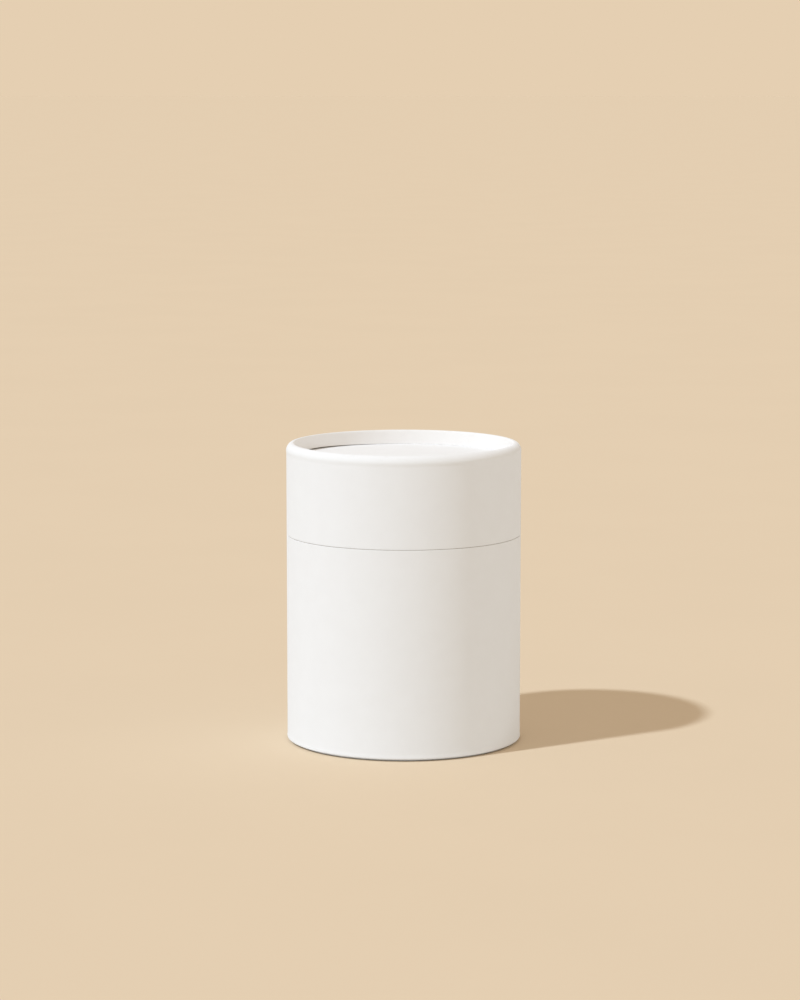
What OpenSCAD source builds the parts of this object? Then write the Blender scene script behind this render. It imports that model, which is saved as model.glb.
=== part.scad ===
// Cylindrical gift tube box: a wound board base with a glued-in neck, and a
// lift-off lid of the same diameter. Each outer tube is wrapped in white paper
// and rolled in at its end, so board and wrap turn back inside the tube as a
// flange, and a disc is pushed up the tube to lie behind that flange.
// Millimetres. Origin on the floor at the centre of the box, +Z up.

/* [Box] */
// Outside diameter over the paper wrap
box_d = 80; // [60:0.5:120]
// Height of the closed box, from the floor to the lid's rim
box_h = 102.3; // [70:0.1:180]
// Height of the lid, from its mouth to its rim
lid_h = 31.2; // [28:0.1:45]

/* [Board and paper] */
// Thickness of the board in the base tube and the lid tube
board_t = 1.05; // [0.8:0.05:1.4]
// Thickness of the board in the neck tube
neck_board_t = 1; // [0.6:0.05:2]
// Thickness of the board in the two end discs
disc_t = 1.5; // [0.8:0.1:2.5]
// Thickness of the white wrap outside the base and the lid
wrap_t = 0.15; // [0.1:0.01:0.25]
// Thickness of the white wrap outside the neck
neck_wrap_t = 0.15; // [0.1:0.01:0.25]
// Thickness of the white paper that lines the tubes
lining_t = 0.15; // [0.1:0.01:0.25]
// Thickness of the white paper on both faces of each disc
facing_t = 0.15; // [0.1:0.01:0.25]
// Thickness of the glue film between a tube's board and the paper on it
film_t = 0.03; // [0.02:0.01:0.05]

/* [Neck] */
// How far the neck stands up above the base tube
neck_rise = 18; // [8:0.5:20]
// Gap all round between the neck and the lid's lining
neck_clearance = 0.15; // [0.1:0.01:0.3]
// Bevel on the neck's two top edges
neck_bevel = 0.2; // [0.1:0.05:0.4]
// Number of glue bands that hold the neck in the base
glue_bands = 3; // [2:1:5]
// Height of one glue band
glue_band_h = 9; // [4:0.5:10]

/* [Rolled rims] */
// Height of the outer round of the rim, from the crest to its widest line
bead_h = 2.4; // [1.6:0.1:2.8]
// How far the rolled rim swells out past the straight wall
bead_proud = 0.08; // [0.04:0.02:0.2]
// Height over which the swelling fades into the straight wall
swell_h = 2; // [1:0.1:4]
// Width of the flat pressed on the crest
crest_flat_w = 0.4; // [0.2:0.05:0.6]
// Width of the small inner round of the rim
lip_w = 0.35; // [0.3:0.01:0.5]
// Height of the small inner round of the rim
lip_h = 0.7; // [0.4:0.1:1.2]
// How far the flange reaches in from the crest
flange_depth = 4.5; // [3.5:0.1:6]
// Gap between the flange's free end and the tube wall
flange_gap = 0.3; // [0.26:0.02:0.5]
// Extra board thickness where it folds over the crest
fold_extra = 0.2; // [0.1:0.05:0.3]
// Radius inside the fold
fold_r = 0.12; // [0.08:0.01:0.13]

/* [Discs] */
// Gap all round between a disc and the tube it is pushed into
disc_clearance = 0.05; // [0.02:0.01:0.1]
// Crevice between the lid's flange and the face of its disc
disc_crevice = 0.45; // [0.2:0.05:0.8]
// Leg of the glue fillet under the lid's disc
glue_leg = 1.2; // [0.6:0.1:2]

/* [Paper edges] */
// Width of the lap where a wrap closes on itself at the back
lap_w = 7; // [4:0.5:12]
// How far the lap's ends stop short of the straight wall's ends
lap_inset = 0.3; // [0.1:0.1:1]
// Hairline between the meeting ends of a lining
butt_gap = 0.2; // [0.1:0.05:0.5]
// How far a wrap stops short of a tube's cut edge
wrap_setback = 0.12; // [0.05:0.01:0.2]
// Radius on the outer edges of a wrap
wrap_edge_r = 0.08; // [0.04:0.01:0.09]
// Bevel on the outer edge of a cut tube end
cut_bevel = 0.12; // [0.05:0.01:0.3]

/* [Hidden] */

$fn = 144;
arc_steps = 12;        // straight steps along a quarter of a drawn round
edge_steps = 4;        // straight steps along a wrap's small edge round
lap_angle_at = 90;     // the laps lie at the back, towards +Y
butt_angle_neck = 62;  // the linings meet beside the laps
butt_angle_lining = 118;
slot_reach = 5;        // how far a cutting slab runs past what it cuts

// Radii of the outer tubes, from the outside in
board_depth = wrap_t + film_t;
wrap_r = box_d / 2;
bead_r = wrap_r + bead_proud;
wrap_in_r = wrap_r - wrap_t;
board_r = wrap_r - board_depth;
board_in_r = board_r - board_t;
lining_r = board_in_r - film_t;
lining_in_r = lining_r - lining_t;
disc_r = board_in_r - disc_clearance;

// Radii of the neck, from the outside in
neck_r = lining_in_r - neck_clearance;
neck_wrap_in_r = neck_r - neck_wrap_t;
neck_board_r = neck_wrap_in_r - film_t;
neck_board_in_r = neck_board_r - neck_board_t;
neck_lining_r = neck_board_in_r - film_t;
bore_r = neck_lining_r - lining_t;

// Radii of the rolled rim, from the flange's free end to the crest
flange_in_r = board_in_r - flange_gap - board_t - board_depth;
lip_end_r = flange_in_r + flange_gap - 2 * fold_r;
crest_in_r = lip_end_r + lip_w;
crest_out_r = crest_in_r + crest_flat_w;
fold_z = board_depth + board_t + fold_extra;
swell_end = bead_h + swell_h;

// Heights of the base
seam_z = box_h - lid_h;
base_disc_z = flange_depth + facing_t;
floor_paper_z = base_disc_z + disc_t;
floor_z = floor_paper_z + facing_t;
neck_top_z = seam_z + neck_rise;

// Heights of the lid
lid_facing_z = box_h - flange_depth - disc_crevice - facing_t;
lid_disc_z = lid_facing_z - disc_t;
ceiling_z = lid_disc_z - facing_t;

// Points on an elliptical arc about c, in steps from angle a0 to angle a1
function arc(c, a, b, a0, a1, steps) =
    [for (i = [0:steps]) let (w = a0 + (a1 - a0) * i / steps)
        [c[0] + a * cos(w), c[1] + b * sin(w)]];

// The same points in the other order
function reversed(points) = [for (i = [len(points) - 1:-1:0]) points[i]];

// Line over a rolled rim at a depth under the paper's face, from the straight
// wall to the flange's free end, as radius against distance from the crest
function rim_line(depth) = concat(
    [for (i = [arc_steps:-1:1])
        [wrap_r - depth + bead_proud * (1 + cos(180 * i / arc_steps)) / 2,
         bead_h + swell_h * i / arc_steps]],
    arc([crest_out_r, bead_h], bead_r - crest_out_r - depth, bead_h - depth, 0, -90, arc_steps),
    arc([crest_in_r, lip_h], lip_w - depth, lip_h - depth, -90, -180, arc_steps),
    [[flange_in_r + depth, flange_depth]]
);

// Section of the board in an outer tube with one rolled rim
function board_section(length) = concat(
    [[board_r - cut_bevel, length], [board_r, length - cut_bevel]],
    rim_line(board_depth),
    [[board_in_r - flange_gap, flange_depth]],
    arc([board_in_r - fold_r, fold_z + fold_r], fold_r, fold_r, 180, 360, arc_steps),
    [[board_in_r, length]]
);

// Section of the wrap that is rolled in with that board
function wrap_section(length) = concat(
    [[wrap_in_r, length]],
    arc([wrap_r - wrap_edge_r, length - wrap_edge_r], wrap_edge_r, wrap_edge_r, 90, 0, edge_steps),
    rim_line(0),
    reversed(rim_line(wrap_t))
);

// A plain sleeve between two radii and two heights
module sleeve(inner, outer, z0, z1) {
    rotate_extrude() translate([inner, z0]) square([outer - inner, z1 - z0]);
}

// A round disc of a given thickness standing on z0
module round_sheet(radius, z0, thickness) {
    translate([0, 0, z0]) cylinder(r = radius, h = thickness);
}

// A thin slab along one ray from the axis, which parts the ends of a rolled sheet
module butt_slot(angle, inner, z0, z1) {
    rotate([0, 0, angle])
        translate([inner - slot_reach, -butt_gap / 2, z0 - slot_reach])
            cube([3 * slot_reach, butt_gap, z1 - z0 + 2 * slot_reach]);
}

// Board of an outer tube, its rolled rim on the floor
module rolled_tube(length) {
    rotate_extrude() polygon(board_section(length));
}

// White sheet round an outer tube and over its rim, lapped at the back of the wall
module outer_wrap(length) {
    lap_angle = lap_w / wrap_r * 180 / PI;
    rotate_extrude() polygon(wrap_section(length));
    rotate([0, 0, lap_angle_at - lap_angle / 2])
        rotate_extrude(angle = lap_angle)
            translate([wrap_r - wrap_t / 2, swell_end + lap_inset])
                square([wrap_t * 3 / 2, length - wrap_edge_r - swell_end - 2 * lap_inset]);
}

// White sheet rolled inside a tube, its ends meeting in a hairline
module rolled_lining(inner, outer, z0, z1, angle) {
    difference() {
        sleeve(inner, outer, z0, z1);
        butt_slot(angle, inner, z0, z1);
    }
}

module base_tube() {
    color("whitesmoke") rolled_tube(seam_z);
}

module base_wrap() {
    color("white") outer_wrap(seam_z - wrap_setback);
}

module base_lining() {
    color("snow") rolled_lining(lining_in_r, lining_r, floor_z, seam_z, butt_angle_lining);
}

module base_disc() {
    color("tan") round_sheet(disc_r, base_disc_z, disc_t);
}

module base_disc_facing() {
    color("ghostwhite") round_sheet(disc_r, flange_depth, facing_t);
}

module base_floor_paper() {
    color("ivory") round_sheet(disc_r, floor_paper_z, facing_t);
}

module neck_tube() {
    color("burlywood") sleeve(neck_board_in_r, neck_board_r, floor_z, neck_top_z);
}

// White sheet round the neck, bevelled where the lid is led on
module neck_wrap() {
    bevel = min(neck_bevel, neck_wrap_t * 3 / 4);
    color("mintcream") difference() {
        rotate_extrude() polygon([
            [neck_wrap_in_r, floor_z],
            [neck_r, floor_z],
            [neck_r, neck_top_z - neck_bevel],
            [neck_r - bevel, neck_top_z],
            [neck_wrap_in_r, neck_top_z]
        ]);
        butt_slot(butt_angle_neck, neck_wrap_in_r, floor_z, neck_top_z);
    }
}

// White sheet inside the neck, bevelled at the mouth
module neck_lining() {
    bevel = min(neck_bevel, lining_t * 3 / 4);
    color("floralwhite") difference() {
        rotate_extrude() polygon([
            [bore_r, floor_z],
            [neck_lining_r, floor_z],
            [neck_lining_r, neck_top_z],
            [bore_r + bevel, neck_top_z],
            [bore_r, neck_top_z - neck_bevel]
        ]);
        butt_slot(butt_angle_neck + 180, bore_r, floor_z, neck_top_z);
    }
}

// Bands of glue, evenly spaced up the part of the neck that is inside the base
module neck_glue() {
    pitch = (seam_z - floor_z) / glue_bands;
    color("khaki")
        for (i = [0:glue_bands - 1])
            let (middle = floor_z + pitch * (i + 0.5))
                sleeve(neck_r, lining_in_r, middle - glue_band_h / 2, middle + glue_band_h / 2);
}

// Stands a rim that was drawn on the floor up at the top of the box
module at_the_top() {
    translate([0, 0, box_h]) mirror([0, 0, 1]) children();
}

module lid_tube() {
    color("whitesmoke") at_the_top() rolled_tube(lid_h);
}

module lid_wrap() {
    color("white") at_the_top() outer_wrap(lid_h - wrap_setback);
}

module lid_lining() {
    color("snow") rolled_lining(lining_in_r, lining_r, seam_z, ceiling_z, butt_angle_lining);
}

module lid_disc() {
    color("tan") round_sheet(disc_r, lid_disc_z, disc_t);
}

module lid_disc_facing() {
    color("ghostwhite") round_sheet(disc_r, lid_facing_z, facing_t);
}

module lid_ceiling_paper() {
    color("ivory") round_sheet(disc_r, ceiling_z, facing_t);
}

// Hollow-faced fillet of glue in the corner under the lid's disc
module lid_disc_glue() {
    color("khaki")
        rotate_extrude() polygon(concat(
            [[lining_in_r, ceiling_z]],
            arc([lining_in_r - glue_leg, ceiling_z - glue_leg], glue_leg, glue_leg, 90, 0, edge_steps)
        ));
}

base_tube();
base_wrap();
base_lining();
base_disc();
base_disc_facing();
base_floor_paper();
neck_tube();
neck_wrap();
neck_lining();
neck_glue();
lid_tube();
lid_wrap();
lid_lining();
lid_disc();
lid_disc_facing();
lid_ceiling_paper();
lid_disc_glue();
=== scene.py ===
"""Looks of the white paper tube box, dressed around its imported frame."""
import logging
import math
from collections.abc import Callable
from dataclasses import dataclass, field
from enum import Enum

import bpy
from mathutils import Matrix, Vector, noise

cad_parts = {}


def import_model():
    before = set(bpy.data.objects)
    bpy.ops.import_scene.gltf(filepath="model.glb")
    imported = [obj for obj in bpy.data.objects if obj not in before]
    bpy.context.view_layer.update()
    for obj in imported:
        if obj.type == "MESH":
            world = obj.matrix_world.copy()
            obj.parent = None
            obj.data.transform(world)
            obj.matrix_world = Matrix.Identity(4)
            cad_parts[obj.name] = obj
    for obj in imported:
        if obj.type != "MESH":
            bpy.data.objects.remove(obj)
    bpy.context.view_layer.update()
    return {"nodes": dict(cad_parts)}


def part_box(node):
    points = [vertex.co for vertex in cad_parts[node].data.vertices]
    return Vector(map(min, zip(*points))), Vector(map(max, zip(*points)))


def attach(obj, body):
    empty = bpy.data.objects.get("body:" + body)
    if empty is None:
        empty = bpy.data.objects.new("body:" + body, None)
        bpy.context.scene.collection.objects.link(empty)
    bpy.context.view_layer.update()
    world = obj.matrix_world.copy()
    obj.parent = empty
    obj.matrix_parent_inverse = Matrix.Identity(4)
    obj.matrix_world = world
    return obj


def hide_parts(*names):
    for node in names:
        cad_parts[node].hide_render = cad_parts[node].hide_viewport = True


log = logging.getLogger("tube_box")

Colour = tuple[float, float, float]
Place = tuple[float, float, float]
Line = list[tuple[float, float]]
Face = tuple[int, ...]
Shift = Callable[[int, float], tuple[float, float]]
Node = bpy.types.Node
Socket = bpy.types.NodeSocket
Tree = bpy.types.NodeTree

MM = 0.001
BACK = math.pi / 2
NO_EDGE = -1.0
UNTINTED: Colour = (1.0, 1.0, 1.0)
# With this energy a sun's colour is what a white sheet that faces it shows.
SUN_ENERGY = math.pi
# Ranges that hold most of a noise texture's values, the wide one and the narrow one.
WIDE, NARROW = (0.3, 0.7), (0.35, 0.65)
# Sockets of a Mix node that mixes colours.
MIX_FACTOR, MIX_A, MIX_B, MIX_RESULT = 0, 6, 7, 2


class RimEnd(Enum):
    """Which end of an outer tube is rolled: the foot or the top."""

    FOOT = 1
    TOP = -1


# Shader graphs

class Graph:
    """A node tree with short calls for adding and linking nodes."""

    def __init__(self, tree: Tree) -> None:
        """Wrap a node tree.

        Args:
            tree: the tree of a material, a world or a group.
        """
        self.tree = tree

    def add(self, kind: str, **values: object) -> Node:
        """Add a node and set its properties.

        Args:
            kind: the node's type name.
            **values: properties of the node.

        Returns:
            The new node.
        """
        node = self.tree.nodes.new(kind)
        for name, value in values.items():
            setattr(node, name, value)
        return node

    def feed(self, node: Node, socket: str | int, value: object) -> None:
        """Link an output to a node's input, or set the input's own value.

        Args:
            node: the node that is fed.
            socket: name or index of its input.
            value: an output socket, or a plain value.
        """
        if isinstance(value, Socket):
            self.tree.links.new(value, node.inputs[socket])
        else:
            node.inputs[socket].default_value = value

    def math(self, operation: str, a: object, b: object = 0.0) -> Socket:
        """Do a sum with a Math node.

        Args:
            operation: the node's operation.
            a: first value or socket.
            b: second value or socket, where the operation takes two.

        Returns:
            The result.
        """
        node = self.add("ShaderNodeMath", operation=operation)
        self.feed(node, 0, a)
        self.feed(node, 1, b)
        return node.outputs[0]

    def noise(self, at: Socket, scale: object, detail: float, rough: float = 0.55) -> Socket:
        """Take a noise texture's value.

        Args:
            at: where it is taken.
            scale: waves in a metre, as a value or a socket.
            detail: how many finer octaves it has.
            rough: how strong they are.

        Returns:
            The value, about 0.5 on average.
        """
        node = self.add("ShaderNodeTexNoise")
        self.feed(node, "Vector", at)
        self.feed(node, "Scale", scale)
        self.feed(node, "Detail", detail)
        self.feed(node, "Roughness", rough)
        return node.outputs["Fac"]

    def ramp(self, value: Socket, low: object, high: object,
             to: tuple[float, float] = (0.0, 1.0)) -> Socket:
        """Map a value smoothly from one range to another.

        Args:
            value: what is mapped.
            low: where its range starts, as a value or a socket.
            high: where its range ends, as a value or a socket.
            to: start and end of the new range.

        Returns:
            The mapped value.
        """
        node = self.add("ShaderNodeMapRange", interpolation_type="SMOOTHSTEP")
        self.feed(node, "Value", value)
        self.feed(node, "From Min", low)
        self.feed(node, "From Max", high)
        self.feed(node, "To Min", to[0])
        self.feed(node, "To Max", to[1])
        return node.outputs["Result"]

    def mix(self, factor: object, a: object, b: object, blend: str = "MIX") -> Socket:
        """Mix two colours.

        Args:
            factor: share of the second colour, as a value or a socket.
            a: first colour or socket.
            b: second colour or socket.
            blend: the node's blend type.

        Returns:
            The mixed colour.
        """
        node = self.add("ShaderNodeMix", data_type="RGBA", blend_type=blend)
        self.feed(node, MIX_FACTOR, factor)
        self.feed(node, MIX_A, a)
        self.feed(node, MIX_B, b)
        return node.outputs[MIX_RESULT]

    def place(self) -> Socket:
        """Return the object coordinates."""
        return self.add("ShaderNodeTexCoord").outputs["Object"]

    def split(self, at: Socket) -> list[Socket]:
        """Return the x, y and z of a vector."""
        node = self.add("ShaderNodeSeparateXYZ")
        self.feed(node, 0, at)
        return list(node.outputs)

    def square_radius(self, at: Socket) -> Socket:
        """Return the square of the distance from the box's axis."""
        x, y, _ = self.split(at)
        return self.math("ADD", self.math("POWER", x, 2.0), self.math("POWER", y, 2.0))


def new_group(name: str, inputs: dict[str, float], outputs: list[str]) -> tuple[Graph, Node, Node]:
    """Start a shader node group whose sockets are all values.

    Args:
        name: the group's name.
        inputs: each input's name and default.
        outputs: the outputs' names.

    Returns:
        The group's graph, its input node and its output node.
    """
    tree = bpy.data.node_groups.new(name, "ShaderNodeTree")
    for label, default in inputs.items():
        socket = tree.interface.new_socket(label, in_out="INPUT", socket_type="NodeSocketFloat")
        socket.default_value = default
    for label in outputs:
        tree.interface.new_socket(label, in_out="OUTPUT", socket_type="NodeSocketFloat")
    graph = Graph(tree)
    return graph, graph.add("NodeGroupInput"), graph.add("NodeGroupOutput")


def paper_fibre_group(stretch: Place = (1.0, 1.0, 0.35), coarser: float = 0.42,
                      upright_share: float = 0.6) -> Tree:
    """Paper felt: soft cloudy formation, and fine fibres of two kinds.

    Args:
        stretch: scale of the upright fibres' noise along each axis.
        coarser: scale of the loose fibres against the upright ones.
        upright_share: share of the height that the upright fibres make.

    Returns:
        The group, with Cloud and Height outputs.
    """
    g, given, out = new_group(
        "paper_fibre", {"Cloud Scale": 160.0, "Fibre Scale": 2600.0}, ["Cloud", "Height"])
    place = g.place()
    cloud = g.noise(place, given.outputs["Cloud Scale"], detail=4.0)
    stretched = g.add("ShaderNodeMapping")
    g.feed(stretched, "Vector", place)
    g.feed(stretched, "Scale", stretch)
    upright = g.noise(stretched.outputs[0], given.outputs["Fibre Scale"], detail=3.0, rough=0.7)
    loose_scale = g.math("MULTIPLY", given.outputs["Fibre Scale"], coarser)
    loose = g.noise(place, loose_scale, detail=3.0, rough=0.65)
    most = g.math("MULTIPLY", upright, upright_share)
    rest = g.math("MULTIPLY", loose, 1 - upright_share)
    g.feed(out, "Cloud", g.ramp(cloud, *WIDE))
    g.feed(out, "Height", g.math("ADD", most, rest))
    return g.tree


def winding_group(start: float = 8.0) -> Tree:
    """Faint ghost of the spiral joints of the board under the paper.

    Args:
        start: whole turns that are added, so that the spiral's phase stays positive.

    Returns:
        The group, with a Height output.
    """
    g, given, out = new_group(
        "spiral_winding", {"Pitch": 92.0 * MM, "Joint Width": 0.03}, ["Height"])
    x, y, z = g.split(g.place())
    turn = g.math("DIVIDE", g.math("ARCTAN2", y, x), 2 * math.pi)
    rise = g.math("DIVIDE", z, given.outputs["Pitch"])
    phase = g.math("FRACT", g.math("ADD", g.math("SUBTRACT", rise, turn), start))
    off_joint = g.math("ABSOLUTE", g.math("SUBTRACT", phase, 0.5))
    g.feed(out, "Height", g.ramp(off_joint, 0.0, given.outputs["Joint Width"]))
    return g.tree


def edge_wear_group(patch_scale: float = 210.0,
                    patch_range: tuple[float, float] = (0.52, 0.72)) -> Tree:
    """Rubbed patches on rims: a mask near two heights, broken up by noise.

    Args:
        patch_scale: scale of the noise that breaks it up.
        patch_range: values of that noise at which a patch starts and is full.

    Returns:
        The group, with a Mask output.
    """
    g, given, out = new_group(
        "edge_wear", {"Low Edge": 0.0, "High Edge": 0.1, "Reach": 1.2 * MM}, ["Mask"])
    place = g.place()
    z = g.split(place)[2]
    low = g.math("ABSOLUTE", g.math("SUBTRACT", z, given.outputs["Low Edge"]))
    high = g.math("ABSOLUTE", g.math("SUBTRACT", z, given.outputs["High Edge"]))
    far = g.ramp(g.math("MINIMUM", low, high), 0.0, given.outputs["Reach"])
    patches = g.ramp(g.noise(place, patch_scale, detail=5.0, rough=0.7), *patch_range)
    g.feed(out, "Mask", g.math("MULTIPLY", g.math("SUBTRACT", 1.0, far), patches))
    return g.tree


def ply_group(wander: float = 0.9, wander_scale: float = 320.0, fibre_scale: float = 3400.0,
              line: tuple[float, float] = (0.02, 0.16)) -> Tree:
    """Plies of wound board, as rings about the axis, with torn fibres.

    Args:
        wander: how far the rings stray, in plies.
        wander_scale: scale of the noise that they stray with.
        fibre_scale: scale of the torn fibres.
        line: distance from a joint, in plies, where its line is full and where it ends.

    Returns:
        The group, with a Line mask and a Height output.
    """
    g, given, out = new_group("board_plies", {"Ply": 0.33 * MM}, ["Line", "Height"])
    place = g.place()
    radius = g.math("SQRT", g.square_radius(place))
    stray = g.math("MULTIPLY", g.noise(place, wander_scale, detail=3.0), wander)
    rings = g.math("ADD", g.math("DIVIDE", radius, given.outputs["Ply"]), stray)
    off_joint = g.math("ABSOLUTE", g.math("SUBTRACT", g.math("FRACT", rings), 0.5))
    g.feed(out, "Line", g.math("SUBTRACT", 1.0, g.ramp(off_joint, *line)))
    g.feed(out, "Height", g.noise(place, fibre_scale, detail=4.0, rough=0.7))
    return g.tree


@dataclass
class Effects:
    """The shared node groups, built once."""

    fibre: Tree = field(default_factory=paper_fibre_group)
    winding: Tree = field(default_factory=winding_group)
    wear: Tree = field(default_factory=edge_wear_group)
    plies: Tree = field(default_factory=ply_group)


def place_group(g: Graph, tree: Tree, **values: float) -> Node:
    """Place a shared effect in a graph.

    Args:
        g: the graph that takes it.
        tree: the effect's group.
        **values: values of its inputs; an underscore in a name stands for a space.

    Returns:
        The group's node.
    """
    node = g.add("ShaderNodeGroup", node_tree=tree)
    for name, value in values.items():
        node.inputs[name.replace("_", " ")].default_value = value
    return node


def new_surface(name: str) -> tuple[bpy.types.Material, Graph, Node]:
    """Start a material.

    Args:
        name: the material's name.

    Returns:
        The material, its graph and its main shader.
    """
    material = bpy.data.materials.new(name)
    material.use_nodes = True
    graph = Graph(material.node_tree)
    return material, graph, material.node_tree.nodes["Principled BSDF"]


def add_bump(g: Graph, shader: Node, layers: list[tuple[Socket, float]]) -> None:
    """Stack bump layers on a shader.

    Args:
        g: the material's graph.
        shader: the shader that takes the normal.
        layers: each layer's height socket and its depth in metres.
    """
    normal = None
    for height, depth in layers:
        bump = g.add("ShaderNodeBump")
        bump.inputs["Strength"].default_value = 1.0
        bump.inputs["Distance"].default_value = depth
        g.feed(bump, "Height", height)
        if normal is not None:
            g.feed(bump, "Normal", normal)
        normal = bump.outputs[0]
    g.feed(shader, "Normal", normal)


def opaque(colour: Colour) -> tuple[float, float, float, float]:
    """Return a colour with full alpha."""
    return (*colour, 1.0)


def darker(colour: Colour, share: float) -> Colour:
    """Return a colour with each channel cut to a share of itself."""
    return tuple(channel * share for channel in colour)


@dataclass(frozen=True)
class PaperFinish:
    """A matte paper.

    Attributes:
        name: the material's name.
        light: colour of the open sheet.
        cloud: colour in the denser clouds of its formation.
        rubbed: colour where an edge is rubbed.
        rubbed_share: share of that colour in a fully rubbed patch.
        rough: roughness of the sheet, from its smoothest to its roughest.
        specular: level of its sheen.
        fibre_depth: depth of the felt, in metres.
        cloud_share: depth of the clouds, as a share of the felt's.
        winding_depth: depth of the spiral joints that show through, in metres.
        edges: heights of the two edges that get rubbed, in metres.
        rolled_in_painted_shade: colour factor of painted warm shade on the part rolled in past
            inner_r.
        inner_r: radius inside which the sheet takes that factor, in metres.
        inner_ease: how far it takes on each side of inner_r to do so, in metres.
    """

    name: str
    light: Colour
    cloud: Colour
    rubbed: Colour = (0.70, 0.68, 0.64)
    rubbed_share: float = 0.18
    rough: tuple[float, float] = (0.72, 0.84)
    specular: float = 0.35
    fibre_depth: float = 0.012 * MM
    cloud_share: float = 0.8
    winding_depth: float = 0.0
    edges: tuple[float, float] = (NO_EDGE, NO_EDGE)
    rolled_in_painted_shade: Colour = UNTINTED
    inner_r: float = 37.8 * MM
    inner_ease: float = 0.4 * MM

    def build(self, effects: Effects) -> bpy.types.Material:
        """Build the material.

        Args:
            effects: the shared node groups.

        Returns:
            The material.
        """
        material, g, shader = new_surface(self.name)
        felt = place_group(g, effects.fibre)
        cloud, height = felt.outputs["Cloud"], felt.outputs["Height"]
        g.feed(shader, "Base Color", self.colour(g, effects, cloud))
        g.feed(shader, "Roughness", g.ramp(height, *NARROW, self.rough))
        shader.inputs["Specular IOR Level"].default_value = self.specular
        layers = [(height, self.fibre_depth), (cloud, self.fibre_depth * self.cloud_share)]
        if self.winding_depth:
            spiral = place_group(g, effects.winding)
            layers.append((spiral.outputs["Height"], self.winding_depth))
        add_bump(g, shader, layers)
        return material

    def colour(self, g: Graph, effects: Effects, cloud: Socket) -> Socket:
        """Give the sheet its clouds, its painted warm shade where it is rolled in, and its rubbed
        edges.

        Args:
            g: the material's graph.
            effects: the shared node groups.
            cloud: how dense the paper's formation is.

        Returns:
            The sheet's colour.
        """
        sheet = g.mix(cloud, opaque(self.light), opaque(self.cloud))
        # Painted warm shade: the part rolled in past inner_r is made warmer and a touch darker,
        # standing in for the warm light it gets in shade.
        if self.rolled_in_painted_shade != UNTINTED:
            warm_shaded = g.mix(1.0, sheet, opaque(self.rolled_in_painted_shade), "MULTIPLY")
            sheet = g.mix(self.painted_shade_mask(g), sheet, warm_shaded)
        wear = place_group(g, effects.wear, Low_Edge=self.edges[0], High_Edge=self.edges[1])
        faint = g.math("MULTIPLY", wear.outputs["Mask"], self.rubbed_share)
        return g.mix(faint, sheet, opaque(self.rubbed))

    def painted_shade_mask(self, g: Graph) -> Socket:
        """Return a mask of the part rolled in past inner_r, which takes the painted warm shade."""
        radius = g.math("SQRT", g.square_radius(g.place()))
        return g.ramp(radius, self.inner_r + self.inner_ease, self.inner_r - self.inner_ease)


@dataclass(frozen=True)
class BoardFinish:
    """Cut or bare board, with the plies showing.

    Attributes:
        name: the material's name.
        face: colour of a ply.
        joint: colour of the line between two plies.
        ply: thickness of a ply, in metres.
        shade: how dark the fibres' clouds are, as a share of the ply's colour.
        rough: roughness of the board, from its smoothest to its roughest.
        specular: level of its sheen.
        fibre_depth: depth of the torn fibres, in metres.
        joint_depth: depth of the lines between plies, in metres.
    """

    name: str
    face: Colour
    joint: Colour
    ply: float = 0.33 * MM
    shade: float = 0.86
    rough: tuple[float, float] = (0.86, 0.96)
    specular: float = 0.2
    fibre_depth: float = 0.04 * MM
    joint_depth: float = 0.02 * MM

    def build(self, effects: Effects) -> bpy.types.Material:
        """Build the material.

        Args:
            effects: the shared node groups.

        Returns:
            The material.
        """
        material, g, shader = new_surface(self.name)
        plies = place_group(g, effects.plies, Ply=self.ply)
        line, height = plies.outputs["Line"], plies.outputs["Height"]
        felt = place_group(g, effects.fibre, Cloud_Scale=420.0, Fibre_Scale=3600.0)
        shade = darker(self.face, self.shade)
        fibres = g.mix(felt.outputs["Cloud"], opaque(self.face), opaque(shade))
        g.feed(shader, "Base Color", g.mix(line, fibres, opaque(self.joint)))
        g.feed(shader, "Roughness", g.ramp(height, *WIDE, self.rough))
        shader.inputs["Specular IOR Level"].default_value = self.specular
        add_bump(g, shader, [(height, self.fibre_depth), (line, self.joint_depth)])
        return material


@dataclass(frozen=True)
class GlueFinish:
    """Dried white glue: ivory, half glossy, with skin ripples.

    Attributes:
        name: the material's name.
        thin: colour where the glue is thin.
        thick: colour where it is thick.
        rough: roughness of its skin, from its smoothest to its roughest.
        milky: share of the light that goes into it.
        soak: how far each colour of that light gets, in metres.
        ripple_depth: depth of the ripples, in metres.
    """

    name: str = "dried_glue"
    thin: Colour = (0.80, 0.77, 0.68)
    thick: Colour = (0.88, 0.86, 0.79)
    rough: tuple[float, float] = (0.28, 0.5)
    milky: float = 0.2
    soak: Colour = (0.002, 0.0016, 0.001)
    ripple_depth: float = 0.03 * MM

    def build(self, effects: Effects) -> bpy.types.Material:
        """Build the material.

        Args:
            effects: the shared node groups.

        Returns:
            The material.
        """
        material, g, shader = new_surface(self.name)
        felt = place_group(g, effects.fibre, Cloud_Scale=520.0, Fibre_Scale=1500.0)
        cloud, height = felt.outputs["Cloud"], felt.outputs["Height"]
        g.feed(shader, "Base Color", g.mix(cloud, opaque(self.thin), opaque(self.thick)))
        g.feed(shader, "Roughness", g.ramp(height, *WIDE, self.rough))
        shader.inputs["Subsurface Weight"].default_value = self.milky
        shader.inputs["Subsurface Radius"].default_value = self.soak
        add_bump(g, shader, [(height, self.ripple_depth)])
        return material


# Meshes

def even_angles(turns: int) -> list[float]:
    """Return evenly spaced angles once round, in radians."""
    return [2 * math.pi * step / turns for step in range(turns)]


def soft_noise(x: float, y: float, z: float) -> float:
    """Return a smooth noise between 0 and 1."""
    return 0.5 + 0.5 * noise.noise(Vector((x, y, z)))


def clamped(value: float) -> float:
    """Return a value kept between 0 and 1."""
    return min(max(value, 0.0), 1.0)


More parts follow.
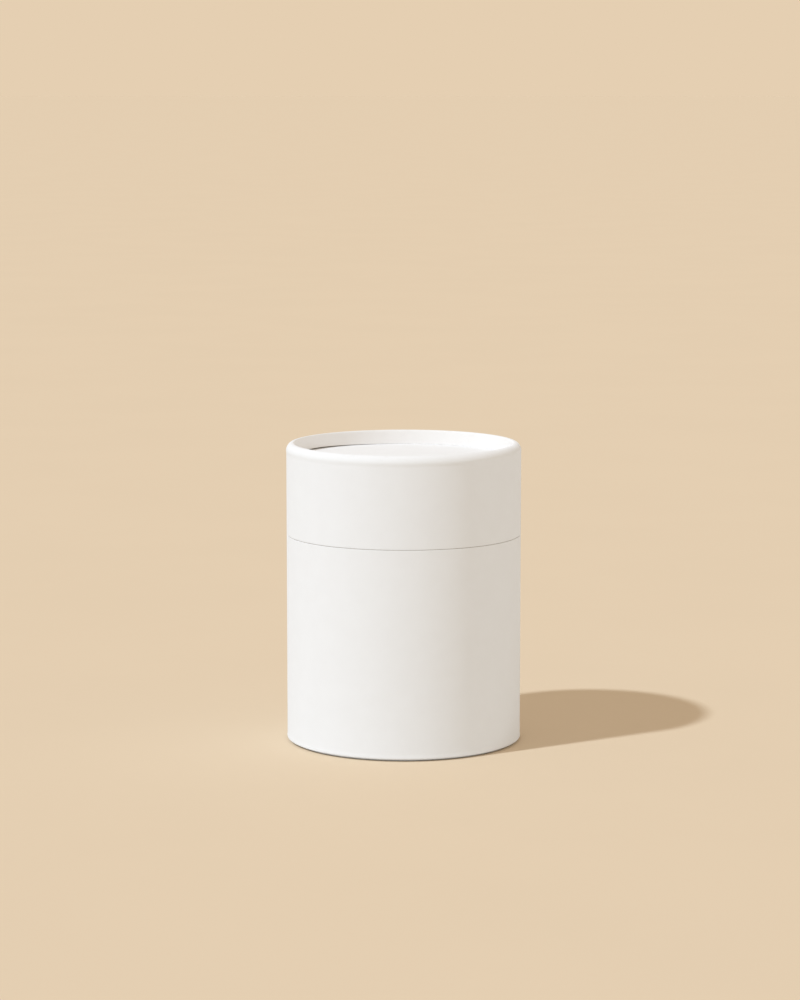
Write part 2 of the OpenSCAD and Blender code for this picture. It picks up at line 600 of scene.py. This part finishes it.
def spin(name: str, section: Line, angles: list[float], shift: Shift) -> bpy.types.Object:
    """Turn a closed section about the axis into a closed mesh.

    Args:
        name: the object's name.
        section: radius and height of each corner of the section, in metres.
        angles: the angles of the steps round the axis, in order.
        shift: gives the added radius and height of a corner, from its index and the angle.

    Returns:
        The object, smooth but for its sharp corners.
    """
    count = len(section)
    turns = len(angles)
    verts: list[Place] = []
    for angle in angles:
        for index, (radius, height) in enumerate(section):
            dr, dz = shift(index, angle)
            r = radius + dr
            verts.append((r * math.cos(angle), r * math.sin(angle), height + dz))
    faces = [
        (a * count + i, b * count + i, b * count + (i + 1) % count, a * count + (i + 1) % count)
        for a in range(turns) for b in [(a + 1) % turns] for i in range(count)
    ]
    return finish_mesh(name, verts, faces)


def finish_mesh(name: str, verts: list[Place], faces: list[Face],
                crease: float = 38.0) -> bpy.types.Object:
    """Make an object of vertices and faces, its normals outward and its corners sharp.

    Args:
        name: the object's name.
        verts: the vertices, in metres.
        faces: the vertices' numbers round each face.
        crease: the angle from which an edge is sharp, in degrees.

    Returns:
        The object, in the scene.
    """
    mesh = bpy.data.meshes.new(name)
    mesh.from_pydata(verts, [], faces)
    mesh.validate()
    obj = bpy.data.objects.new(name, mesh)
    bpy.context.scene.collection.objects.link(obj)
    bpy.context.view_layer.objects.active = obj
    obj.select_set(True)
    bpy.ops.object.mode_set(mode="EDIT")
    bpy.ops.mesh.select_all(action="SELECT")
    bpy.ops.mesh.normals_make_consistent(inside=False)
    bpy.ops.object.mode_set(mode="OBJECT")
    obj.select_set(False)
    mesh.shade_smooth()
    mesh.set_sharp_from_angle(angle=math.radians(crease))
    return obj


def arc(centre: tuple[float, float], across: float, along: float,
        start: float, end: float, steps: int) -> Line:
    """Draw part of an ellipse.

    Args:
        centre: its centre.
        across: its radius in the first direction.
        along: its radius in the second direction.
        start: the angle that the arc starts at, in degrees.
        end: the angle that it ends at, in degrees.
        steps: how many steps it has.

    Returns:
        The points, with both ends.
    """
    angles = [math.radians(start + (end - start) * i / steps) for i in range(steps + 1)]
    return [(centre[0] + across * math.cos(w), centre[1] + along * math.sin(w)) for w in angles]


@dataclass
class RolledRim:
    """The rolled rim of an outer tube, measured from its crest, in metres.

    Attributes:
        bead_h: distance from the crest to the rim's widest line.
        bead_proud: how far that line stands out past the wall.
        swell_h: distance from that line to where the wall is straight.
        crest_flat_w: width of the flat along the crest.
        lip_w: width of the round from the crest to the flange.
        lip_h: height of that round.
        flange_depth: distance from the crest to the flange's end.
        crest_in_r: radius at the crest's inner edge.
        flange_in_r: radius of the flange's face at its end.
        squareness: power of the shoulder's curve; an ellipse has 2.
        steps: steps in each curve.
        flange_steps: steps down the flange's face, so that it can ripple.
    """

    bead_h: float = 2.5 * MM
    bead_proud: float = 0.08 * MM
    swell_h: float = 1.3 * MM
    crest_flat_w: float = 0.4 * MM
    lip_w: float = 0.35 * MM
    lip_h: float = 0.7 * MM
    flange_depth: float = 4.5 * MM
    crest_in_r: float = 37.65 * MM
    flange_in_r: float = 37.24 * MM
    squareness: float = 1.8
    steps: int = 16
    flange_steps: int = 10

    def line(self, bead_r: float, depth: float) -> Line:
        """Draw the line over the rim at a depth under the paper's face.

        Args:
            bead_r: radius at the rim's widest line.
            depth: how far under the paper's face the line runs.

        Returns:
            Radius and distance from the crest, from the wall to the flange's end.
        """
        wall_r = bead_r - self.bead_proud - depth
        swell: Line = []
        for i in range(self.steps, 0, -1):
            proud = self.bead_proud * (1 + math.cos(math.pi * i / self.steps)) / 2
            swell.append((wall_r + proud, self.bead_h + self.swell_h * i / self.steps))
        round_out = self.outer_round(bead_r, self.crest_in_r + self.crest_flat_w, depth)
        round_in = arc((self.crest_in_r, self.lip_h), self.lip_w - depth, self.lip_h - depth,
                       -90, -180, self.steps)
        return swell + round_out + round_in + self.flange_end(depth, round_in[-1])

    def outer_round(self, bead_r: float, out_r: float, depth: float) -> Line:
        """Draw the shoulder, a little flatter than an ellipse.

        Args:
            bead_r: radius at the rim's widest line.
            out_r: radius at the crest's outer edge.
            depth: how far under the paper's face the line runs.

        Returns:
            Radius and distance from the crest, from the widest line to the crest.
        """
        across, along = bead_r - out_r - depth, self.bead_h - depth
        angles = [math.pi / 2 * i / self.steps for i in range(self.steps + 1)]
        power = 2 / self.squareness
        return [
            (out_r + across * math.cos(w) ** power, self.bead_h - along * math.sin(w) ** power)
            for w in angles
        ]

    def flange_end(self, depth: float, top: tuple[float, float]) -> Line:
        """Draw the flange's face below the lip.

        Args:
            depth: how far under the paper's face the line runs.
            top: the line's last point on the lip.

        Returns:
            Radius and distance from the crest of the points below that one.
        """
        end = (self.flange_in_r + depth, self.flange_depth)
        return [
            tuple(a + (b - a) * i / self.flange_steps for a, b in zip(top, end))
            for i in range(1, self.flange_steps + 1)
        ]


@dataclass
class FootRim(RolledRim):
    """The foot's rim, whose outer corner stands a hair off the floor.

    Attributes:
        corner_r: radius of the outer corner.
        corner_turn: the angle that the corner ends at, in degrees.
        foot_r: radius of the line that the box stands on.
    """

    bead_h: float = 1.15 * MM
    corner_r: float = 0.5 * MM
    corner_turn: float = -80.0
    foot_r: float = 38.45 * MM

    def outer_round(self, bead_r: float, out_r: float, depth: float) -> Line:
        """Draw a tight corner, and the slope from it down to the line that the box stands on."""
        size = self.corner_r - depth
        centre = (bead_r - self.corner_r, self.bead_h)
        corner = arc(centre, size, size, 0, self.corner_turn, self.steps)
        return corner + [(self.foot_r, depth), (out_r, depth)]


@dataclass
class OuterWrap:
    """White sheet round an outer tube, rolled in with its rim and lapped at the back.

    Attributes:
        node: the frame's node that the sheet stands for.
        body: the body it moves with.
        end: which end is rolled.
        seed: where its ripples start.
        rim: the shape of the rolled end.
        sheet_t: thickness of the paper, in metres, as are the lengths below.
        edge_r: radius of its edge at the seam.
        mouth_reach: how much nearer to the seam it comes than the solid.
        lap_w: width of the lap.
        lap_inset: how far from the seam and from the rim the lap ends.
        lap_ease: width in which the lap's long edges rise.
        lap_rise: height of the lap, as a share of the paper's thickness.
        ripple: depth of the gathers on the flange.
        gathers: how many waves of gathers there are in a radian.
        reach_down: how far the flange's end comes down to the disc.
        gap_at: direction in which it stays up, in degrees.
        gap_full: angle to each side in which it stays up fully, in degrees.
        gap_none: angle to each side past which it has come down, in degrees.
        corner_steps: steps round the edge at the seam.
        wall_steps: steps up the wall.
        turns: steps round the axis.
    """

    node: str
    body: str
    end: RimEnd
    seed: float
    rim: RolledRim = field(default_factory=RolledRim)
    sheet_t: float = 0.15 * MM
    edge_r: float = 0.13 * MM
    mouth_reach: float = 0.06 * MM
    lap_w: float = 7.0 * MM
    lap_inset: float = 0.3 * MM
    lap_ease: float = 0.06 * MM
    lap_rise: float = 0.999
    ripple: float = 0.05 * MM
    gathers: float = 14.0
    reach_down: float = 0.0
    gap_at: float = 165.0
    gap_full: float = 25.0
    gap_none: float = 85.0
    corner_steps: int = 6
    wall_steps: int = 40
    turns: int = 384

    def section(self, bead_r: float, length: float) -> Line:
        """Draw the sheet's closed section.

        Args:
            bead_r: radius at the rim's widest line.
            length: the sheet's length, from the crest to the seam.

        Returns:
            Radius and distance from the crest of each corner.
        """
        wall_r = bead_r - self.rim.bead_proud
        wall_end = self.rim.bead_h + self.rim.swell_h
        edge = (wall_r - self.edge_r, length - self.edge_r)
        mouth = [(wall_r - self.sheet_t, length)]
        mouth += arc(edge, self.edge_r, self.edge_r, 90, 0, self.corner_steps)
        tall = length - self.edge_r - self.lap_inset - wall_end
        wall = [
            (wall_r, wall_end + tall * (1 - i / self.wall_steps)) for i in range(self.wall_steps)
        ]
        inside = self.rim.line(bead_r, self.sheet_t)
        return mouth + wall + self.rim.line(bead_r, 0.0) + inside[::-1]

    def angles(self, radius: float) -> list[float]:
        """Space the mesh's steps round the axis, with close pairs at the lap's long edges.

        Args:
            radius: radius at the rim's widest line.

        Returns:
            The steps' angles, in radians.
        """
        half, ease = self.lap_w / 2 / radius, self.lap_ease / radius
        edges = [BACK + side * off for side in (-1, 1) for off in (half, half - ease)]
        clear = [
            angle for angle in even_angles(self.turns)
            if min(abs(angle - edge) for edge in edges) > ease
        ]
        return sorted(clear + edges)

    def lap(self, angle: float, radius: float) -> float:
        """Measure the lap's added thickness, eased at its long edges.

        Args:
            angle: where it is measured, in radians.
            radius: radius at the rim's widest line.

        Returns:
            The added thickness.
        """
        off = abs((angle - BACK + math.pi) % (2 * math.pi) - math.pi) * radius
        edge = clamped((self.lap_w / 2 - off) / self.lap_ease)
        return self.sheet_t * edge * edge * (3 - 2 * edge) * self.lap_rise

    def reach(self, angle: float) -> float:
        """Measure how far the flange's end comes down; at one side it stays up.

        Args:
            angle: where it is measured, in radians.

        Returns:
            The distance down.
        """
        off = abs((math.degrees(angle) - self.gap_at + 180) % 360 - 180)
        share = clamped((self.gap_none - off) / (self.gap_none - self.gap_full))
        return self.reach_down * (1 - share * share)

    def wall_corners(self, section: Line, bead_r: float, length: float) -> set[int]:
        """Find the corners of the section that the lap raises.

        Args:
            section: the sheet's section.
            bead_r: radius at the rim's widest line.
            length: the sheet's length, from the crest to the seam.

        Returns:
            Their indexes.
        """
        outside = bead_r - self.rim.bead_proud - self.sheet_t / 2
        near = self.rim.bead_h + self.rim.swell_h + self.lap_inset
        far = length - self.edge_r - self.lap_inset / 2
        return {i for i, (r, h) in enumerate(section) if r > outside and near < h < far}

    def flange_corners(self, section: Line) -> dict[int, float]:
        """Find the corners of the section on the flange.

        Args:
            section: the sheet's section.

        Returns:
            How far down the flange each one is, from 0 at the lip to 1 at its end.
        """
        inside = self.rim.crest_in_r - self.sheet_t
        tall = self.rim.flange_depth - self.rim.lip_h
        return {
            i: min((h - self.rim.lip_h) / tall, 1.0)
            for i, (r, h) in enumerate(section) if r < inside and h > self.rim.lip_h
        }

    def build(self, material: bpy.types.Material) -> bpy.types.Object:
        """Build, dress and mount the sheet.

        Args:
            material: the paper it is made of.

        Returns:
            The finished piece.
        """
        low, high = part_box(self.node)
        bead_r = min(high.x, -low.y)
        length = high.z - low.z + self.mouth_reach
        section = self.section(bead_r, length)
        wall = self.wall_corners(section, bead_r, length)
        flange = self.flange_corners(section)
        crest = low.z if self.end is RimEnd.FOOT else high.z
        turned = [(r, crest + self.end.value * h) for r, h in section]

        def shift(index: int, angle: float) -> tuple[float, float]:
            """Raise the lap on the wall, and gather the paper on the flange."""
            if index in wall:
                return self.lap(angle, bead_r), 0.0
            if index not in flange:
                return 0.0, 0.0
            along = flange[index]
            gather = soft_noise(
                math.cos(angle) * self.gathers, math.sin(angle) * self.gathers, self.seed)
            inward = self.ripple * math.sin(math.pi * along) * gather
            return -inward, self.end.value * self.reach(angle) * along

        piece = spin(self.node + "_sheet", turned, self.angles(bead_r), shift)
        piece.data.materials.append(material)
        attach(piece, self.body)
        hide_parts(self.node)
        log.info("%s: %d faces", piece.name, len(piece.data.polygons))
        return piece


@dataclass
class DiscFacing:
    """Paper on a disc's outer face, faintly uneven but for its edge.

    Attributes:
        node: the frame's node that the paper stands for.
        body: the body it moves with.
        seed: where its unevenness starts.
        unevenness: how deep it is, in metres.
        waves: how many waves of it there are in a metre.
        edge_w: width in which it fades out to the edge, in metres.
        rings: steps from the centre to the edge.
        turns: steps round the axis.
    """

    node: str
    body: str
    seed: float
    unevenness: float = 0.04 * MM
    waves: float = 60.0
    edge_w: float = 3.6 * MM
    rings: int = 40
    turns: int = 256

    def dip(self, x: float, y: float, inset: float) -> float:
        """Measure how far the face dips.

        Args:
            x: first coordinate of the place.
            y: second coordinate of the place.
            inset: its distance from the edge.

        Returns:
            The depth under the solid's face.
        """
        dip = soft_noise(x * self.waves, y * self.waves, self.seed) * self.unevenness
        return min(dip * min(1.0, inset / self.edge_w), self.unevenness)

    def faces(self) -> list[Face]:
        """Join the centre, the rings, the back's edge and the back's centre.

        Returns:
            The vertices' numbers round each face.
        """
        rim = 1 + (self.rings - 1) * self.turns
        under = rim + self.turns
        back = under + self.turns
        faces: list[Face] = []
        for step in range(self.turns):
            after = (step + 1) % self.turns
            faces.append((0, 1 + step, 1 + after))
            for a in range(1, rim, self.turns):
                b = a + self.turns
                faces.append((a + step, b + step, b + after, a + after))
        for step in range(self.turns):
            after = (step + 1) % self.turns
            faces.append((rim + step, under + step, under + after, rim + after))
            faces.append((under + step, back, under + after))
        return faces

    def build(self, material: bpy.types.Material, outward: float) -> bpy.types.Object:
        """Build, dress and mount the paper.

        Args:
            material: the paper it is made of.
            outward: 1 where the face looks up, and -1 where it looks down.

        Returns:
            The finished piece.
        """
        low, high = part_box(self.node)
        radius = high.x
        face, back = (high.z, low.z) if outward > 0 else (low.z, high.z)
        verts: list[Place] = [(0.0, 0.0, face - outward * self.unevenness / 2)]
        for ring in range(1, self.rings + 1):
            r = radius * ring / self.rings
            for angle in even_angles(self.turns):
                x, y = r * math.cos(angle), r * math.sin(angle)
                verts.append((x, y, face - outward * self.dip(x, y, radius - r)))
        verts += [(x, y, back) for x, y, _ in verts[-self.turns:]]
        verts.append((0.0, 0.0, back))
        piece = finish_mesh(self.node + "_sheet", verts, self.faces())
        piece.data.materials.append(material)
        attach(piece, self.body)
        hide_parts(self.node)
        log.info("%s: %d faces", piece.name, len(piece.data.polygons))
        return piece


@dataclass
class GlueBead:
    """Run of glue in the corner under the lid's disc, uneven as it was laid.

    Attributes:
        node: the frame's node that the bead stands for.
        body: the body it moves with.
        lumps: how far its face draws back at most, as a share of its size.
        waves: how many waves of lumps there are in a radian.
        seed: where its lumps start.
        steps: steps across its face.
        turns: steps round the axis.
    """

    node: str = "lid_disc_glue"
    body: str = "lid"
    lumps: float = 0.3
    waves: float = 9.0
    seed: float = 7.0
    steps: int = 10
    turns: int = 300

    def build(self, material: bpy.types.Material) -> bpy.types.Object:
        """Build, dress and mount the bead.

        Args:
            material: the glue it is made of.

        Returns:
            The finished piece.
        """
        low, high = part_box(self.node)
        radius, leg = high.x, high.z - low.z
        hollow = arc((radius - leg, high.z - leg), leg, leg, 90, 0, self.steps)
        section = [(radius, high.z)] + hollow
        held = (0, 1, len(section) - 1)

        def shift(index: int, angle: float) -> tuple[float, float]:
            """Draw the bead's face back towards its corner, more in some places."""
            if index in held:
                return 0.0, 0.0
            pull = self.lumps * soft_noise(
                math.cos(angle) * self.waves, math.sin(angle) * self.waves, self.seed)
            r, h = section[index]
            return (radius - r) * pull, (high.z - h) * pull

        piece = spin(self.node + "_run", section, even_angles(self.turns), shift)
        piece.data.materials.append(material)
        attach(piece, self.body)
        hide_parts(self.node)
        log.info("%s: %d faces", piece.name, len(piece.data.polygons))
        return piece


def wrap_paper(name: str, edges: tuple[float, float]) -> PaperFinish:
    """Choose the white paper of an outer tube, with a painted warm shade where it is rolled in.

    Args:
        name: the material's name.
        edges: heights of the two edges that get rubbed, in metres.

    Returns:
        The finish.
    """
    # The rolled-in factor is painted warm shade: a warmer, slightly darker tint on the part rolled
    # in.
    return PaperFinish(
        name, (0.898, 0.894, 0.896), (0.889, 0.884, 0.885),
        winding_depth=0.02 * MM, edges=edges, rolled_in_painted_shade=(1.0, 0.985, 0.965))


@dataclass
class TubeBox:
    """The whole box: every node dressed, and the fine pieces built.

    Attributes:
        nodes: the frame's nodes by name.
    """

    nodes: dict[str, bpy.types.Object]

    def dress(self, names: list[str], material: bpy.types.Material) -> None:
        """Give carried-over nodes their material.

        Args:
            names: the nodes' names.
            material: what they are made of.
        """
        for name in names:
            self.nodes[name].data.materials.clear()
            self.nodes[name].data.materials.append(material)
            log.info("%s: %s", name, material.name)

    def build(self) -> None:
        """Choose the finishes, dress the carried-over nodes, and build the fine pieces."""
        effects = Effects()
        foot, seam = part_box("base_tube")[0].z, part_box("base_tube")[1].z
        top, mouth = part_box("lid_wrap")[1].z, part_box("neck_tube")[1].z
        neck_paper = PaperFinish(
            "neck_paper", (0.89, 0.885, 0.87), (0.87, 0.865, 0.85),
            winding_depth=0.025 * MM, edges=(mouth, NO_EDGE))
        lining = PaperFinish(
            "white_lining", (0.87, 0.862, 0.845), (0.85, 0.84, 0.82),
            fibre_depth=0.018 * MM, winding_depth=0.025 * MM)
        facing = PaperFinish(
            "disc_paper", (0.91, 0.906, 0.908), (0.90, 0.895, 0.895), fibre_depth=0.016 * MM)
        tube_board = BoardFinish("outer_board", (0.60, 0.55, 0.45), (0.42, 0.37, 0.28))
        neck_board = BoardFinish(
            "neck_board", (0.64, 0.59, 0.50), (0.47, 0.41, 0.33), ply=0.25 * MM)
        disc_board = BoardFinish(
            "disc_board", (0.52, 0.50, 0.46), (0.45, 0.43, 0.39), ply=0.9 * MM)
        base_paper = wrap_paper("white_wrap_base", (foot, seam)).build(effects)
        lid_paper = wrap_paper("white_wrap_lid", (seam, top)).build(effects)
        disc_paper = facing.build(effects)
        glue = GlueFinish().build(effects)

        self.dress(["neck_wrap"], neck_paper.build(effects))
        self.dress(["neck_lining", "base_lining", "lid_lining"], lining.build(effects))
        self.dress(["base_floor_paper", "lid_ceiling_paper"], disc_paper)
        self.dress(["base_tube", "lid_tube"], tube_board.build(effects))
        self.dress(["neck_tube"], neck_board.build(effects))
        self.dress(["base_disc", "lid_disc"], disc_board.build(effects))
        self.dress(["neck_glue"], glue)

        OuterWrap("base_wrap", "base", RimEnd.FOOT, seed=1.0, rim=FootRim()).build(base_paper)
        OuterWrap("lid_wrap", "lid", RimEnd.TOP, seed=4.0, reach_down=0.43 * MM).build(lid_paper)
        DiscFacing("lid_disc_facing", "lid", seed=2.0).build(disc_paper, outward=1.0)
        DiscFacing("base_disc_facing", "base", seed=5.0).build(disc_paper, outward=-1.0)
        GlueBead().build(glue)


@dataclass
class Studio:
    """Pale floor, one key light as from a window, soft surroundings, and the camera.

    Attributes:
        camera_at: where the camera stands, in metres.
        pitch_down: how far it looks down, in radians.
        yaw: how far it is turned to the left, in radians.
        lens: its focal length, in millimetres.
        sensor_w: width of its sensor, in millimetres.
        to_light: direction to the key light.
        light_spread: how wide the key light looks, in radians.
        key: colour and strength of the key light.
        fill: colour and strength of the fill light.
        to_fill: direction to the fill light.
        fill_spread: how wide the fill light looks, in radians.
        overhead: colour of the surroundings overhead.
        low_sky: colour of the surroundings at the horizon.
        horizon_power: how closely that colour keeps to the horizon.
        floor_colour: the floor as the camera sees it.
        mottle: colour of the floor's darker spots, as a share of floor_colour.
        mottle_scale: scale of those spots.
        floor_bounce: the floor as the box sees it.
        seen_far: what the camera sees beyond the floor.
        floor_size: the floor's side, in metres.
        clear_r: radius of the see-through part under the foot, in metres.
    """

    camera_at: Place = (0.0, -1.0589, 0.2269)
    pitch_down: float = 0.1356
    yaw: float = 0.0012
    lens: float = 112.68
    sensor_w: float = 36.0
    to_light: Place = (-0.530, -0.340, 0.777)
    light_spread: float = 0.045
    key: Colour = (0.47, 0.545, 0.63)
    fill: Colour = (0.020, 0.018, 0.015)
    to_fill: Place = (0.93, -0.08, 0.36)
    fill_spread: float = 1.0
    overhead: Colour = (0.575, 0.488, 0.396)
    low_sky: Colour = (0.955, 0.945, 0.895)
    horizon_power: float = 2.0
    floor_colour: Colour = (0.772, 0.627, 0.457)
    mottle: float = 0.99
    mottle_scale: float = 9.0
    floor_bounce: Colour = (0.70, 0.66, 0.60)
    seen_far: Colour = (0.783, 0.624, 0.445)
    floor_size: float = 60.0
    clear_r: float = 38.4 * MM

    def build(self) -> None:
        """Build the floor, the lights, the surroundings and the camera."""
        self.build_floor()
        self.build_light()
        self.build_world()
        self.build_camera()
        bpy.context.scene.view_settings.view_transform = "Standard"

    def build_floor(self) -> None:
        """Lay the floor as one wide sheet."""
        half = self.floor_size / 2
        corners = [(-half, -half, 0), (half, -half, 0), (half, half, 0), (-half, half, 0)]
        mesh = bpy.data.meshes.new("floor")
        mesh.from_pydata(corners, [], [(0, 1, 2, 3)])
        floor = bpy.data.objects.new("floor", mesh)
        bpy.context.scene.collection.objects.link(floor)
        mesh.materials.append(self.floor_material())

    def floor_material(self) -> bpy.types.Material:
        """Build the floor's material, which the camera sees in another colour than the box."""
        material, g, shader = new_surface("sand_floor")
        spots = g.ramp(g.noise(g.place(), self.mottle_scale, detail=3.0), *WIDE)
        shade = darker(self.floor_colour, self.mottle)
        seen = g.mix(spots, opaque(self.floor_colour), opaque(shade))
        path = g.add("ShaderNodeLightPath")
        colour = g.mix(path.outputs["Is Camera Ray"], opaque(self.floor_bounce), seen)
        g.feed(shader, "Base Color", colour)
        g.feed(g.tree.nodes["Material Output"], "Surface", self.open_below(g, shader))
        shader.inputs["Roughness"].default_value = 1.0
        shader.inputs["Specular IOR Level"].default_value = 0.0
        return material

    def open_below(self, g: Graph, shader: Node) -> Socket:
        """Make the floor see-through under the foot and from below, to show the underside.

        Args:
            g: the floor's graph.
            shader: the floor's main shader.

        Returns:
            The shader with its clear parts.
        """
        under_foot = g.math("LESS_THAN", g.square_radius(g.place()), self.clear_r ** 2)
        below = g.add("ShaderNodeNewGeometry").outputs["Backfacing"]
        clear = g.add("ShaderNodeBsdfTransparent")
        choice = g.add("ShaderNodeMixShader")
        g.feed(choice, 0, g.math("MAXIMUM", under_foot, below))
        g.feed(choice, 1, shader.outputs[0])
        g.feed(choice, 2, clear.outputs[0])
        return choice.outputs[0]

    def build_light(self) -> None:
        """Hang the key light high at the left front, and a weak broad fill at the right."""
        self.hang("key", self.key, self.to_light, self.light_spread)
        self.hang("fill", self.fill, self.to_fill, self.fill_spread)

    def hang(self, name: str, colour: Colour, to_light: Place, spread: float) -> None:
        """Hang one distant light.

        Args:
            name: the light's name.
            colour: its colour and strength.
            to_light: direction to it.
            spread: how wide it looks, in radians.
        """
        lamp = bpy.data.lights.new(name, "SUN")
        lamp.energy = SUN_ENERGY
        lamp.color = colour
        lamp.angle = spread
        light = bpy.data.objects.new(name, lamp)
        light.rotation_mode = "QUATERNION"
        light.rotation_quaternion = Vector(to_light).to_track_quat("Z", "Y")
        bpy.context.scene.collection.objects.link(light)

    def build_world(self) -> None:
        """Surround the box with soft light; far off, the view shows the floor's colour."""
        world = bpy.data.worlds.new("surroundings")
        world.use_nodes = True
        g = Graph(world.node_tree)
        z = g.split(g.add("ShaderNodeTexCoord").outputs["Generated"])[2]
        level = g.math("SUBTRACT", 1.0, g.math("ABSOLUTE", z))
        low = g.math("POWER", level, self.horizon_power)
        around = g.mix(low, opaque(self.overhead), opaque(self.low_sky))
        path = g.add("ShaderNodeLightPath")
        seen = g.mix(path.outputs["Is Camera Ray"], around, opaque(self.seen_far))
        g.feed(g.tree.nodes["Background"], "Color", seen)
        bpy.context.scene.world = world

    def build_camera(self) -> None:
        """Stand the camera where the photograph was taken from."""
        lens = bpy.data.cameras.new("camera")
        lens.lens = self.lens
        lens.sensor_width = self.sensor_w
        camera = bpy.data.objects.new("camera", lens)
        camera.location = self.camera_at
        camera.rotation_euler = (math.pi / 2 - self.pitch_down, 0.0, self.yaw)
        bpy.context.scene.collection.objects.link(camera)
        bpy.context.scene.camera = camera


def main() -> None:
    """Load the frame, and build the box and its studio."""
    logging.basicConfig(level=logging.INFO, format="%(name)s %(message)s")
    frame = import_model()
    TubeBox(frame["nodes"]).build()
    Studio().build()


if __name__ == "__main__":
    main()
